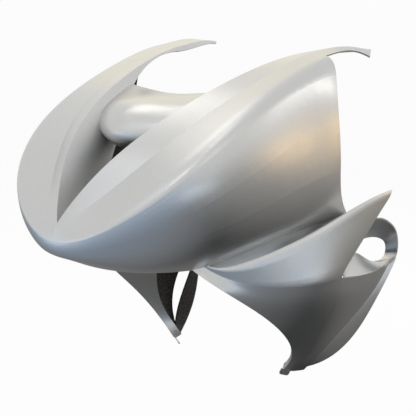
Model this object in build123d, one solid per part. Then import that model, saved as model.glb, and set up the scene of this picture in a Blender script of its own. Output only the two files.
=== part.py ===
import os

import numpy as np
from build123d import *

# Upper fairing of a sports motorcycle, laid up as one thin shell of glass fibre.
# Lengths in mm: X to the bike's left, Y to the rear, Z up.  The flow lines below are
# measured from the lowest point of the air intake's V, on the centre plane.

WALL = 2.5
# Height of the room inside the belly that is kept clear of the panel's end.
HOLLOW_HEIGHT = 80
# How hard a flow line is held to its points against being smooth.
CLOSENESS = 60
# Where the bike's stay meets the bridge, the origin of the finished part.
STAY_CONTACT_Y = 170
STAY_CONTACT_Z = 92

# Nose and side of the left half, from the intake's wall over the arm to the belly.
# Each flow line starts on the centre plane and gives one point at each station.
BODY = {
    "mouth": [(0, 70, -8), (10, 90, 18), (26, 130, 54), (44, 166, 88),
              (62, 202, 124), (86, 250, 163), (111, 322, 197), (120, 404, 208)],
    "lip": [(0, 0, 0), (14, 14, 26), (34, 48, 69), (58, 95, 107),
            (79, 153, 143), (98, 252, 180), (113, 325, 202), (124, 404, 215)],
    "flute": [(0, -5, -7), (33, 13, 16), (70, 66, 62), (98, 115, 102),
              (117, 163, 134), (135, 255, 174), (143, 330, 201), (152, 404, 219)],
    "crest": [(0, -9, -23), (48, 3, -12), (114, 28, 26), (164, 76, 80),
              (178, 159, 130), (189, 260, 172), (193, 340, 200), (192, 404, 211)],
    "side_1": [(0, -10, -32), (55, 10, -24), (129, 42, 8), (179, 98, 53),
               (192, 180, 94), (201, 270, 130), (206, 333, 150), (211, 384, 154)],
    "side_2": [(0, -7, -41), (57, 18, -37), (126, 57, -18), (177, 122, 9),
               (195, 200, 32), (206, 285, 55), (211, 341, 68), (214, 394, 72)],
    "side_3": [(0, 2, -50), (55, 28, -52), (118, 74, -46), (163, 144, -34),
               (185, 215, -20), (199, 295, -5), (207, 349, 4), (210, 401, 12)],
    "side_4": [(0, 31, -62), (50, 49, -69), (102, 96, -70), (136, 160, -64),
               (163, 228, -53), (183, 300, -42), (194, 360, -33), (202, 424, -21)],
    "hem": [(0, 90, -90), (48, 110, -92), (82, 150, -91), (103, 205, -90),
            (127, 260, -76), (160, 315, -60), (182, 380, -46), (194, 452, -42)],
    "under": [(0, 262, -110), (42, 266, -112), (74, 274, -112), (98, 280, -102),
              (120, 296, -88), (146, 330, -72), (164, 390, -60), (178, 452, -56)],
}
# Share of the space to the next line that a rounded ridge takes, at its front and its rear.
# Lines that are not named here are hard edges.
BODY_ROUND = {
    "crest": (0.25, 0.42),
    "side_1": (0.5, 0.5),
    "side_2": (0.5, 0.5),
    "side_3": (0.5, 0.5),
    "side_4": (0.5, 0.5),
    "hem": (0.5, 0.5),
}
# Lines that meet in a V on the centre plane; the others cross it smoothly.
BODY_CREASED = {"mouth", "lip", "flute"}

# Tail of the arm: where its four flow lines bend in, and where they end.
TAIL_ROOT = [(122, 450, 209), (131, 458, 220), (159, 448, 226), (189, 441, 215)]
TAIL_WAIST = [(147, 508, 217), (150, 508, 223), (161, 508, 227), (172, 488, 221)]
TAIL_TIP = [(161, 556, 211), (164, 560, 215), (176, 538, 213), (192, 510, 201)]

# Lower panel with the blade on its upper edge, from inside the belly to the blade's tip.
PANEL = {
    "root": [(48, 190, -40), (92, 228, -80), (128, 296, -58), (158, 352, -44),
             (174, 404, -38), (182, 440, -40), (184, 456, -46)],
    "valley": [(64, 181, -44), (106, 221, -88), (145, 287, -67), (172, 345, -54),
               (187, 400, -45), (197, 440, -43), (205, 459, -41)],
    "blade": [(74, 177, -48), (119, 222, -97), (159, 276, -80), (192, 335, -62),
              (217, 385, -36), (237, 450, -2), (247, 509, 0)],
    "crease": [(76, 177, -61), (122, 229, -112), (162, 284, -128), (190, 324, -132),
               (207, 350, -129), (217, 374, -126), (221, 397, -125)],
    "panel_1": [(76, 177, -67), (121, 226, -117), (157, 284, -145), (181, 326, -160),
                (195, 352, -166), (205, 378, -174), (212, 402, -180)],
    "panel_2": [(75, 177, -73), (119, 220, -121), (150, 281, -160), (165, 324, -188),
                (169, 358, -214), (170, 380, -238), (170, 396, -256)],
    "lead": [(74, 176, -79), (117, 214, -125), (142, 278, -174), (151, 322, -212),
             (150, 366, -258), (138, 377, -284), (119, 383, -309)],
    "inlet": [(37, 246, -82), (80, 284, -128), (104, 324, -167), (128, 346, -209),
              (138, 372, -249), (129, 394, -280), (113, 396, -302)],
}
PANEL_ROUND = {
    "valley": (0.4, 0.4),
    "blade": (0.4, 0.12),
    "crease": (0.12, 0.12),
    "panel_1": (0.5, 0.5),
    "panel_2": (0.5, 0.5),
}

# Rear of the lower panel, behind the blade: crease, panel_1, panel_2 and lead lines.
REAR_ROOT = [(223, 427, -131), (218, 430, -188), (173, 410, -266), (127, 391, -312)]
REAR_WAIST = [(223, 502, -144), (212, 480, -192), (178, 426, -262), (134, 402, -313)]
REAR_TIP = [(220, 556, -137), (209, 520, -190), (182, 440, -256), (142, 414, -312)]

# Strut behind the panel's trailing edge, from the foot up to the vent.
STRUT = {
    "front": [(124, 388, -296), (137, 408, -292), (153, 425, -272), (163, 466, -236),
              (180, 512, -194), (193, 550, -143)],
    "rear": [(120, 395, -308), (149, 434, -309), (170, 498, -286), (188, 524, -246),
             (204, 559, -192), (216, 583, -140)],
}

# Vent: a dish sunk behind the blade, with Y and Z of its rim and of its hole.
VENT_RIM_X = 219
VENT_HOLE_X = 193
VENT_RIM = [(398, -100), (440, -70), (508, -57), (551, -74), (572, -93),
            (574, -134), (548, -143), (500, -148), (446, -142), (402, -127)]
VENT_HOLE = [(442, -106), (464, -98), (505, -95), (562, -105), (583, -122),
             (581, -138), (566, -144), (536, -140), (492, -117), (460, -110)]

# Tab at the foot, let into the panel's toe, where the side panel laps on.
TAB_CENTRE = (120, 389, -314)
TAB_NORMAL = (0.494, -0.691, -0.527)
TAB_ALONG = (-0.537, 0.233, -0.810)
TAB_LENGTH = 16
TAB_WIDTH = 16
TAB_CORNER = 4

# Bridge over the intake, from the centre plane to inside the arm's wall.
BRIDGE = {
    "rear": [(0, 246, 158), (35, 246, 160), (70, 248, 164), (96, 252, 167)],
    "top_1": [(0, 205, 160), (35, 207, 159), (64, 212, 157), (88, 218, 156)],
    "top_2": [(0, 150, 152), (33, 154, 148), (60, 163, 143), (82, 178, 139)],
    "nose": [(0, 110, 112), (30, 120, 110), (54, 136, 112), (74, 158, 116)],
    "belly": [(0, 138, 82), (28, 144, 86), (50, 155, 95), (68, 171, 103)],
    "back": [(0, 170, 92), (28, 174, 94), (48, 182, 102), (66, 190, 110)],
}
BRIDGE_ROUND = {"top_1": (0.5, 0.5), "top_2": (0.5, 0.5), "nose": (0.5, 0.5), "belly": (0.5, 0.5)}


def bernstein(degree, t):
    """Weights of a Bezier curve's control points at parameter t."""
    choose = [1.0]
    for k in range(degree):
        choose.append(choose[-1] * (degree - k) / (k + 1))
    return [c * t**k * (1 - t) ** (degree - k) for k, c in enumerate(choose)]


def fair(points, params, rule):
    """Control points of a smooth Bezier curve that keeps close to the given points.

    Its ends are exact.  The rule holds at the start: "even" or "odd" about the centre plane.
    """
    degree = len(params) + 2
    through = np.array([bernstein(degree, t) for t in params])
    exact = [through[0], through[-1]]
    if rule:
        pattern = {"even": [-1, 1], "odd": [1, -2, 1]}[rule]
        exact.append(np.pad(pattern, (0, degree + 1 - len(pattern))))
    exact = np.array(exact)
    bend = np.diff(np.eye(degree + 1), 3, axis=0)
    cost = bend.T @ bend + CLOSENESS * through.T @ through
    system = np.block([[cost, exact.T], [exact, np.zeros((len(exact), len(exact)))]])
    right = np.zeros(len(system))
    right[: degree + 1] = CLOSENESS * through.T @ points
    right[degree + 1 : degree + 3] = points[0], points[-1]
    return np.linalg.solve(system, right)[: degree + 1]


def stations(rows):
    """Parameter of each station, from the rows' mean chord lengths."""
    steps = np.linalg.norm(np.diff(rows, axis=1), axis=2)
    run = np.cumsum(steps, axis=1) / np.sum(steps, axis=1, keepdims=True)
    return np.concatenate([[0.0], run.mean(axis=0)])


def inset(rows, mirrored):
    """The rows moved to the other face of the laminate, mitred at each row."""
    flow = np.gradient(rows, axis=1)
    if mirrored:
        flow[:, 0] = (1, 0, 0)
    normal = np.cross(flow[:-1] + flow[1:], np.diff(rows, axis=0))
    normal /= np.linalg.norm(normal, axis=2, keepdims=True)
    before = np.concatenate([normal[:1], normal])
    after = np.concatenate([normal, normal[-1:]])
    mitre = (before + after) / (1 + np.sum(before * after, axis=2, keepdims=True))
    return rows + WALL * mitre


def blend(names, rounds, columns):
    """Row weights of each face, column by column: flats, and ridges rounded by a share."""
    eye = np.repeat(np.eye(len(names))[:, :, None], columns, axis=2)
    faces = []
    start = eye[0]
    for k in range(1, len(names)):
        share = np.linspace(*rounds.get(names[k], (0, 0)), columns)
        enter = eye[k] + share * (eye[k - 1] - eye[k])
        if not np.allclose(enter, start):
            faces.append(np.array([start, enter]))
        start = enter
        if share.any():
            start = eye[k] + share * (eye[k + 1] - eye[k])
            faces.append(np.array([enter, eye[k], start]))
    return faces


def sheet(table, rounds, creased=(), mirrored=False):
    """Control rows of a sheet's outer and inner face, and its faces' row weights."""
    rows = np.array(list(table.values()), float)
    params = stations(rows)
    nets = []
    for points in (rows, inset(rows, mirrored)):
        net = np.empty((len(rows), len(params) + 3, 3))
        for k, name in enumerate(table):
            smooth = mirrored and name not in creased
            for axis, rule in enumerate(("odd", "even", "even")):
                net[k, :, axis] = fair(points[k, :, axis], params, rule if smooth else None)
        nets.append(net)
    return nets[0], nets[1], blend(list(table), rounds, len(params) + 3)


def extension(outer, inner, root, waist, tip):
    """Cubic continuation of a sheet's rows past its rear end."""
    front = np.stack([outer[:, -1], root, waist, tip], axis=1)
    back = inset(front, False)
    back[:, 0] = inner[:, -1]
    return front, back


def carry(weights, first, last):
    """Weights of the faces that lie between two rows, as they are at the rear end."""
    inside = [k for k, w in enumerate(weights) if not w[:, :first].any() and not w[:, last:].any()]
    columns = [np.repeat(weights[k][:, first:last, -1:], 4, axis=2) for k in inside]
    return inside, columns


def patch(net):
    return Face.make_bezier_surface([[Vector(*point) for point in row] for row in net])


def mix(weight, net):
    """Control points of one face: each column of the net, weighted row by row."""
    return np.einsum("irc,rcx->icx", weight, net)


def skin(outer, inner, weights, front=(), rear=()):
    """Both faces of a sheet, its side edges, and the end edges of the faces named."""
    faces = []
    for k, weight in enumerate(weights):
        out, back = mix(weight, outer), mix(weight, inner)
        faces += [patch(out), patch(back)]
        for ends, column in ((front, 0), (rear, -1)):
            if k in ends:
                faces.append(patch([out[:, column], back[:, column]]))
    for weight in (weights[0][:1], weights[-1][-1:]):
        faces.append(patch([mix(weight, outer)[0], mix(weight, inner)[0]]))
    return faces


def both_sides(nets):
    """The control nets as they are, and mirrored in the centre plane."""
    return [[net * (side, 1, 1) for net in nets] for side in (1, -1)]


def make_body():
    outer, inner, weights = sheet(BODY, BODY_ROUND, BODY_CREASED, mirrored=True)
    arm = list(BODY).index("crest") + 1
    carried, tail_weights = carry(weights, 0, arm)
    tail = extension(outer[:arm], inner[:arm], TAIL_ROOT, TAIL_WAIST, TAIL_TIP)
    faces = []
    for out, back in both_sides((outer, inner)):
        faces += skin(out, back, weights, rear=set(range(len(weights))) - set(carried))
    for out, back in both_sides(tail):
        faces += skin(out, back, tail_weights, rear=range(len(carried)))
    return Solid(Shell(faces))


def make_hollow():
    """Room above the belly, from the middle of its wall up: the panel ends in that wall."""
    outer, inner, weights = sheet(BODY, BODY_ROUND, BODY_CREASED, mirrored=True)
    middle = (outer + inner) / 2
    first = list(BODY).index("side_3")
    low = [w for w in weights if not w[:, :first].any()]
    ends = range(len(low))
    return Solid(Shell(skin(middle, middle + (0, 0, HOLLOW_HEIGHT), low, front=ends, rear=ends)))


def make_panel():
    outer, inner, weights = sheet(PANEL, PANEL_ROUND)
    first, last = list(PANEL).index("crease"), list(PANEL).index("lead") + 1
    carried, rear_weights = carry(weights, first, last)
    ends = range(len(weights))
    faces = skin(outer, inner, weights, front=ends, rear=set(ends) - set(carried))
    rear = extension(outer[first:last], inner[first:last], REAR_ROOT, REAR_WAIST, REAR_TIP)
    faces += skin(*rear, rear_weights, rear=range(len(carried)))
    return Solid(Shell(faces)) - make_hollow() - toe_cut()


def make_strut():
    outer, inner, weights = sheet(STRUT, {})
    return Solid(Shell(skin(outer, inner, weights, front=[0], rear=[0])))


def make_bridge():
    outer, inner, weights = sheet(BRIDGE, BRIDGE_ROUND, mirrored=True)
    faces = []
    for out, back in both_sides((outer, inner)):
        faces += skin(out, back, weights, rear=range(len(weights)))
    return Solid(Shell(faces))


def vent_cone(grow, reach):
    """Solid between the dish's rim and hole, grown sideways and lengthened by reach."""
    rim, hole = np.array(VENT_RIM, float), np.array(VENT_HOLE, float)
    step = (hole - rim) / (VENT_RIM_X - VENT_HOLE_X)
    front, back = rim - reach * step, hole + reach * step
    wires = []
    for points, x in ((front, VENT_RIM_X + reach), (back, VENT_HOLE_X - reach)):
        run = np.roll(points, -1, axis=0) - np.roll(points, 1, axis=0)
        out = np.column_stack([-run[:, 1], run[:, 0]]) / np.linalg.norm(run, axis=1, keepdims=True)
        loop = [Vector(x, *point) for point in points + grow * out]
        wires.append(Wire([Edge.make_spline(loop, periodic=True)]))
    return Solid.make_loft(wires, ruled=True)


def make_vent():
    return vent_cone(WALL, 0) - vent_cone(0, WALL)


def tab_plane():
    out = Vector(*TAB_NORMAL).normalized()
    along = Vector(*TAB_ALONG)
    return Plane(origin=TAB_CENTRE, x_dir=along - out * along.dot(out), z_dir=out)


def make_tab():
    return tab_plane() * extrude(RectangleRounded(TAB_LENGTH, TAB_WIDTH, TAB_CORNER), -WALL)


def toe_cut():
    """Block over the tab, which squares off the toe of the panel."""
    flat = (Align.CENTER, Align.CENTER, Align.MIN)
    return tab_plane() * Box(TAB_LENGTH, 2 * TAB_WIDTH, TAB_WIDTH, align=flat)


def make_fairing():
    left = [make_panel(), make_strut(), make_vent(), make_tab()]
    fairing = make_body() + make_bridge()
    for piece in left:
        fairing += piece
        fairing += piece.mirror(Plane.YZ)
    return fairing.moved(Location((0, -STAY_CONTACT_Y, -STAY_CONTACT_Z)))


fairing = make_fairing()
fairing.label = "fairing_shell"
os.makedirs("parts", exist_ok=True)
export_step(fairing, "parts/fairing_shell.step")
print("solids", len(fairing.solids()), "volume", round(fairing.volume), fairing.bounding_box())
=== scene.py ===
import math

import bpy
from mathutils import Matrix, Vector
from mathutils.bvhtree import BVHTree


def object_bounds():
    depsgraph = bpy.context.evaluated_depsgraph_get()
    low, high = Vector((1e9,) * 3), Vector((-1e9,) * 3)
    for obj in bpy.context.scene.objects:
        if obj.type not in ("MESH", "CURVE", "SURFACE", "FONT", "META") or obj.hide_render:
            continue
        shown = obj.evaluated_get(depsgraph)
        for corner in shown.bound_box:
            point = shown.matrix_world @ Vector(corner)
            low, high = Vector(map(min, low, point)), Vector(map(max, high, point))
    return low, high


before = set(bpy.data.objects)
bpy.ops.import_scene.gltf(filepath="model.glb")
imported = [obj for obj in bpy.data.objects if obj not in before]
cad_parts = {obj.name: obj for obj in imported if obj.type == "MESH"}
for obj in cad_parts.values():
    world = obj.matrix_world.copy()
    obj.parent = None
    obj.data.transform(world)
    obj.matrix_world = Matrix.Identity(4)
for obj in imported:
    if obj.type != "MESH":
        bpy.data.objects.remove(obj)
cad_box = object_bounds()

# Fairing shell, outside.  The moulding leaves its mould with a smooth outer face, which is
# flatted and sprayed with one thin coat of silver: a satin film with fine metal flake, a
# faint orange peel from the gun and a drier, rougher mist where the spray only glanced by.
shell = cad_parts["fairing_shell"]
metal_share = 0.93
lacquer_gloss = 0.6
flakes_per_metre = 1800
flake_tones = (0.53, 0.53, 0.525, 1), (0.63, 0.63, 0.62, 1)
mist_per_metre = 9
mist_detail = 3
mist_thin_to_thick = 0.3, 0.7
wet_to_dry_roughness = 0.3, 0.38
peel_per_metre = 420
peel_strength = 0.12
peel_height = 0.0002


def new_finish(name):
    finish = bpy.data.materials.new(name)
    finish.use_nodes = True
    return finish, finish.node_tree


def two_tone(tree, share, tones):
    blend = tree.nodes.new("ShaderNodeMix")
    blend.data_type = "RGBA"
    blend.inputs["A"].default_value, blend.inputs["B"].default_value = tones
    tree.links.new(share, blend.inputs["Factor"])
    return blend.outputs["Result"]


def patchiness(tree, place, per_metre=1, detail=1):
    cloud = tree.nodes.new("ShaderNodeTexNoise")
    cloud.inputs["Scale"].default_value = per_metre
    cloud.inputs["Detail"].default_value = detail
    tree.links.new(place, cloud.inputs["Vector"])
    return cloud.outputs["Fac"]


def graded(tree, value, span=(0, 1), onto=(0, 1)):
    grade = tree.nodes.new("ShaderNodeMapRange")
    grade.inputs["From Min"].default_value, grade.inputs["From Max"].default_value = span
    grade.inputs["To Min"].default_value, grade.inputs["To Max"].default_value = onto
    tree.links.new(value, grade.inputs["Value"])
    return grade.outputs["Result"]


def relief(tree, height, strength, depth):
    raised = tree.nodes.new("ShaderNodeBump")
    raised.inputs["Strength"].default_value = strength
    raised.inputs["Distance"].default_value = depth
    tree.links.new(height, raised.inputs["Height"])
    return raised.outputs["Normal"]


silver, tree = new_finish("silver_paint")
paint = tree.nodes["Principled BSDF"]
paint.inputs["Metallic"].default_value = metal_share
paint.inputs["Specular IOR Level"].default_value = lacquer_gloss
place = tree.nodes.new("ShaderNodeTexCoord").outputs["Object"]
flake = tree.nodes.new("ShaderNodeTexVoronoi")
flake.inputs["Scale"].default_value = flakes_per_metre
tree.links.new(place, flake.inputs["Vector"])
tree.links.new(two_tone(tree, flake.outputs["Color"], flake_tones), paint.inputs["Base Color"])
mist = patchiness(tree, place, mist_per_metre, mist_detail)
mist_roughness = graded(tree, mist, mist_thin_to_thick, wet_to_dry_roughness)
tree.links.new(mist_roughness, paint.inputs["Roughness"])
peel = patchiness(tree, place, peel_per_metre)
tree.links.new(relief(tree, peel, peel_strength, peel_height), paint.inputs["Normal"])

# Fairing shell, inside.  Nobody sees it on the bike, so it stays as it was laid up: chopped
# glass strands that lie every way, wetted out with near-black resin, which shines on the
# strands that stand up and is dull in the hollows between them.
resin_gloss = 0.1
strand_turns = (0.3, 0.5, 0.2), (1.2, 0.4, 1.0), (0.7, 1.4, 2.1)
strands_per_metre = 60, 520, 520
hollow_to_strand = 0.5, 0.75
resin_tones = (0.010, 0.010, 0.010, 1), (0.090, 0.084, 0.075, 1)
dull_to_shiny_roughness = 0.8, 0.5
strand_strength = 0.6
strand_height = 0.0005


def worked_out(tree, operation, *terms):
    step = tree.nodes.new("ShaderNodeMath")
    step.operation = operation
    for socket, term in zip(step.inputs, terms):
        if isinstance(term, bpy.types.NodeSocket):
            tree.links.new(term, socket)
        else:
            socket.default_value = term
    return step.outputs["Value"]


laminate, tree = new_finish("bare_laminate")
resin = tree.nodes["Principled BSDF"]
resin.inputs["Specular IOR Level"].default_value = resin_gloss
place = tree.nodes.new("ShaderNodeTexCoord").outputs["Object"]
strands = None
for turn in strand_turns:
    lie = tree.nodes.new("ShaderNodeMapping")
    lie.inputs["Rotation"].default_value = turn
    lie.inputs["Scale"].default_value = strands_per_metre
    tree.links.new(place, lie.inputs["Vector"])
    layer = patchiness(tree, lie.outputs["Vector"])
    strands = layer if strands is None else worked_out(tree, "MAXIMUM", strands, layer)
standing = graded(tree, strands, hollow_to_strand)
tree.links.new(two_tone(tree, standing, resin_tones), resin.inputs["Base Color"])
tree.links.new(graded(tree, standing, onto=dull_to_shiny_roughness), resin.inputs["Roughness"])
tree.links.new(relief(tree, standing, strand_strength, strand_height), resin.inputs["Normal"])

# The spray gun goes over the front and the top, and along each side from outside.  A moulded
# face that its passes reach over more than about a quarter of its area is painted all over, and
# the others keep the bare laminate, so the paint stops at the shell's edges.
front_passes = [(0, 10), (35, 35), (-35, 35), (0, 40), (0, -30)]
side_passes = [(70, 0), (95, 5), (112, 10), (60, 45), (75, -30), (110, 50), (130, 20)]
grazing_limit = 0.02
clear_of_face = 0.0004
reached_share = 0.266
skin = shell.data
joined_to = list(range(len(skin.vertices)))


def moulded_face(corner):
    while joined_to[corner] != corner:
        joined_to[corner] = joined_to[joined_to[corner]]
        corner = joined_to[corner]
    return corner


def towards_gun(azimuth, elevation):
    a, e = math.radians(azimuth), math.radians(elevation)
    return Vector((math.sin(a) * math.cos(e), -math.cos(a) * math.cos(e), math.sin(e)))


# Facets that share a corner belong to one moulded face, named by its lowest corner.
for facet in skin.polygons:
    ends = [moulded_face(corner) for corner in facet.vertices]
    for end in ends:
        joined_to[end] = min(ends)
# Each facet is reached if any pass on its own side of the bike sees it with no wall in between.
guns = {}
for side in (1, -1):
    passes = front_passes + [(side * azimuth, elevation) for azimuth, elevation in side_passes]
    guns[side] = [towards_gun(azimuth, elevation) for azimuth, elevation in passes]
walls = BVHTree.FromPolygons([v.co for v in skin.vertices], [p.vertices for p in skin.polygons])
whole_area, reached_area = {}, {}
for facet in skin.polygons:
    face = moulded_face(facet.vertices[0])
    whole_area[face] = whole_area.get(face, 0) + facet.area
    start = facet.center + clear_of_face * facet.normal
    for gun in guns[math.copysign(1, facet.center.x)]:
        if facet.normal.dot(gun) > grazing_limit and walls.ray_cast(start, gun)[0] is None:
            reached_area[face] = reached_area.get(face, 0) + facet.area
            break
skin.materials.clear()
skin.materials.append(silver)
skin.materials.append(laminate)
for facet in skin.polygons:
    face = moulded_face(facet.vertices[0])
    is_painted = reached_area.get(face, 0) > reached_share * whole_area[face]
    facet.material_index = 0 if is_painted else 1

# Studio floor.  A wide sheet of matte pale board well below the shell.  To the camera and in the
# paint's reflections it is nearly white, as an evenly lit studio sweep is, so the shell's shadow
# on it is faint.
floor_drop = 0.3
floor_radius = 120
disc_sides = 96
floor_tone = 0.8, 0.8, 0.8, 1
floor_white_share = 0.965


def laid_disc(name, radius, at):
    bpy.ops.mesh.primitive_circle_add(vertices=disc_sides, radius=radius, fill_type="NGON", location=at)
    disc = bpy.context.object
    disc.name = name
    return disc


def seen_directly(tree):
    ray = tree.nodes.new("ShaderNodeLightPath").outputs
    seen = worked_out(tree, "MAXIMUM", ray["Is Camera Ray"], ray["Is Glossy Ray"])
    return worked_out(tree, "MAXIMUM", seen, ray["Is Transmission Ray"])


def washed(tree, share, plain, white):
    wash = tree.nodes.new("ShaderNodeMixShader")
    tree.links.new(share, wash.inputs["Fac"])
    tree.links.new(plain, wash.inputs[1])
    tree.links.new(white, wash.inputs[2])
    return wash.outputs["Shader"]


floor = laid_disc("studio_floor", floor_radius, (0, 0, cad_box[0].z - floor_drop))
pale, tree = new_finish("pale_floor")
tree.nodes.remove(tree.nodes["Principled BSDF"])
matte = tree.nodes.new("ShaderNodeBsdfDiffuse")
matte.inputs["Color"].default_value = floor_tone
white = tree.nodes.new("ShaderNodeEmission")
white_share = worked_out(tree, "MULTIPLY", seen_directly(tree), floor_white_share)
board = washed(tree, white_share, matte.outputs["BSDF"], white.outputs["Emission"])
tree.links.new(board, tree.nodes["Material Output"].inputs["Surface"])
floor.data.materials.append(pale)

# Studio air.  Past the floor's edge the camera and the reflections meet a white backdrop, and
# everything else gets a weak, slightly cool light from all round.
air_tone = 0.9, 0.95, 1.0, 1
air_strength = 0.25
backdrop_tone = 0.975, 0.975, 0.975, 1
world = bpy.data.worlds.new("studio_air")
bpy.context.scene.world = world
world.use_nodes = True
tree = world.node_tree
ambient = tree.nodes["Background"]
ambient.inputs["Color"].default_value = air_tone
ambient.inputs["Strength"].default_value = air_strength
backdrop = tree.nodes.new("ShaderNodeBackground")
backdrop.inputs["Color"].default_value = backdrop_tone
air = washed(tree, seen_directly(tree), ambient.outputs["Background"], backdrop.outputs["Background"])
tree.links.new(air, tree.nodes["World Output"].inputs["Surface"])

# Shadow gel.  In the paint's reflections the floor is white and has no shadow, so a sheet of dark
# gel that the camera doesn't see lies on it as a painted shadow, standing for the shell's own.  It is
# densest on the bike's left and thins out with distance, sooner towards the front, where its blue tint
# is a painted cool reflection.
gel_centre = 0.36, 0.25
gel_radius = 14
gel_lift = 0.01
front_stretch = 4.4
thinning_power = 0.4
clear_gain = 0.365
clear_loss = 0.12
blue_reflection_from_to = 0, -0.6
shadow_and_blue_reflection_tints = (1.0, 0.98, 0.95, 1), (0.66, 0.80, 1.0, 1)
sheet = laid_disc("shadow_gel", gel_radius, (*gel_centre, floor.location.z + gel_lift))
sheet.visible_camera = False
sheet.visible_shadow = False
gel, tree = new_finish("painted_shadow_gel")
tree.nodes.remove(tree.nodes["Principled BSDF"])
across = tree.nodes.new("ShaderNodeSeparateXYZ")
tree.links.new(tree.nodes.new("ShaderNodeTexCoord").outputs["Object"], across.inputs["Vector"])
along = across.outputs["Y"]
ahead = worked_out(tree, "MINIMUM", along, 0)
spread = tree.nodes.new("ShaderNodeCombineXYZ")
tree.links.new(across.outputs["X"], spread.inputs["X"])
tree.links.new(worked_out(tree, "MULTIPLY_ADD", ahead, front_stretch, along), spread.inputs["Y"])
distance = tree.nodes.new("ShaderNodeVectorMath")
distance.operation = "LENGTH"
tree.links.new(spread.outputs["Vector"], distance.inputs[0])
thinning = worked_out(tree, "POWER", distance.outputs["Value"], thinning_power)
clear = worked_out(tree, "MULTIPLY_ADD", thinning, clear_gain, -clear_loss)
clear.node.use_clamp = True
passed = tree.nodes.new("ShaderNodeVectorMath")
passed.operation = "SCALE"
# The gel's tint is painted shadow, turning to a painted cool reflection in blue towards the front.
tree.links.new(two_tone(tree, graded(tree, along, blue_reflection_from_to), shadow_and_blue_reflection_tints), passed.inputs[0])
tree.links.new(clear, passed.inputs["Scale"])
see_through = tree.nodes.new("ShaderNodeBsdfTransparent")
tree.links.new(passed.outputs["Vector"], see_through.inputs["Color"])
tree.links.new(see_through.outputs["BSDF"], tree.nodes["Material Output"].inputs["Surface"])
sheet.data.materials.append(gel)

# Lamps.  Soft boxes all round the shell, warm behind it and cool in front, each set for one streak
# or shade of light on the paint.  The fill at the back lights the bare inside, and is kept out of
# the paint's reflections.
lamps_aim = Vector((0, 0.1, -0.1))


def soft_box(name, at, size, power, tint):
    light = bpy.data.lights.new(name, "AREA")
    light.shape = "RECTANGLE"
    light.size, light.size_y = size
    light.energy = power
    light.color = tint
    box = bpy.data.objects.new(name, light)
    box.location = at
    box.rotation_euler = (lamps_aim - Vector(at)).to_track_quat("-Z", "Y").to_euler()
    bpy.context.scene.collection.objects.link(box)
    return box


soft_box("overhead_box", at=(-0.75, 0.33, 1.72), size=(0.8, 0.7), power=2.6, tint=(1.0, 0.96, 0.88))
soft_box("crest_box", at=(0.82, -1.13, 1.53), size=(0.3, 0.3), power=1.2, tint=(1.0, 0.98, 0.94))
soft_box("ridge_strip", at=(0.15, 0.0, 1.8), size=(0.12, 0.7), power=1.2, tint=(1.0, 0.98, 0.92))
soft_box("left_box", at=(2.0, -0.1, 1.1), size=(0.6, 0.6), power=0.8, tint=(0.98, 0.98, 1.0))
soft_box("left_rear_box", at=(2.0, 2.1, 0.66), size=(0.4, 0.4), power=2.2, tint=(1.0, 0.98, 0.92))
soft_box("left_warm", at=(1.69, 1.89, -0.24), size=(0.55, 0.18), power=1.2, tint=(1.0, 0.62, 0.18))
soft_box("left_low", at=(1.8, -0.05, -0.5), size=(0.9, 0.25), power=1.0, tint=(0.82, 0.91, 1.0))
soft_box("right_rear_box", at=(-1.3, 1.6, 1.2), size=(1.6, 1.4), power=2.0, tint=(1.0, 0.78, 0.2))
rear_fill = soft_box("rear_fill", at=(-0.2, 2.3, 0.8), size=(1.6, 1.0), power=36, tint=(1.0, 0.97, 0.93))
soft_box("front_top", at=(0.0, -1.4, 1.4), size=(1.4, 1.0), power=1.0, tint=(0.72, 0.84, 1.0))
soft_box("front_fill", at=(-1.2, -2.0, -0.1), size=(2.0, 0.8), power=2.0, tint=(0.62, 0.79, 1.0))
rear_fill.visible_glossy = False

# Camera.  It stands where the photograph was taken from, ahead of the bike on its left and a
# little above the nose, and has a long lens.
camera_at = Vector((1.0092, -1.0840, 0.2415))
looks_along = Vector((-0.6129, 0.7571, -0.2260))
film_width = 36
focal_length = 86.54
lens = bpy.data.cameras.new("camera")
lens.sensor_width = film_width
lens.lens = focal_length
camera = bpy.data.objects.new("camera", lens)
camera.location = camera_at
camera.rotation_euler = looks_along.to_track_quat("-Z", "Y").to_euler()
bpy.context.scene.collection.objects.link(camera)
bpy.context.scene.camera = camera
bpy.context.scene.view_settings.view_transform = "Standard"
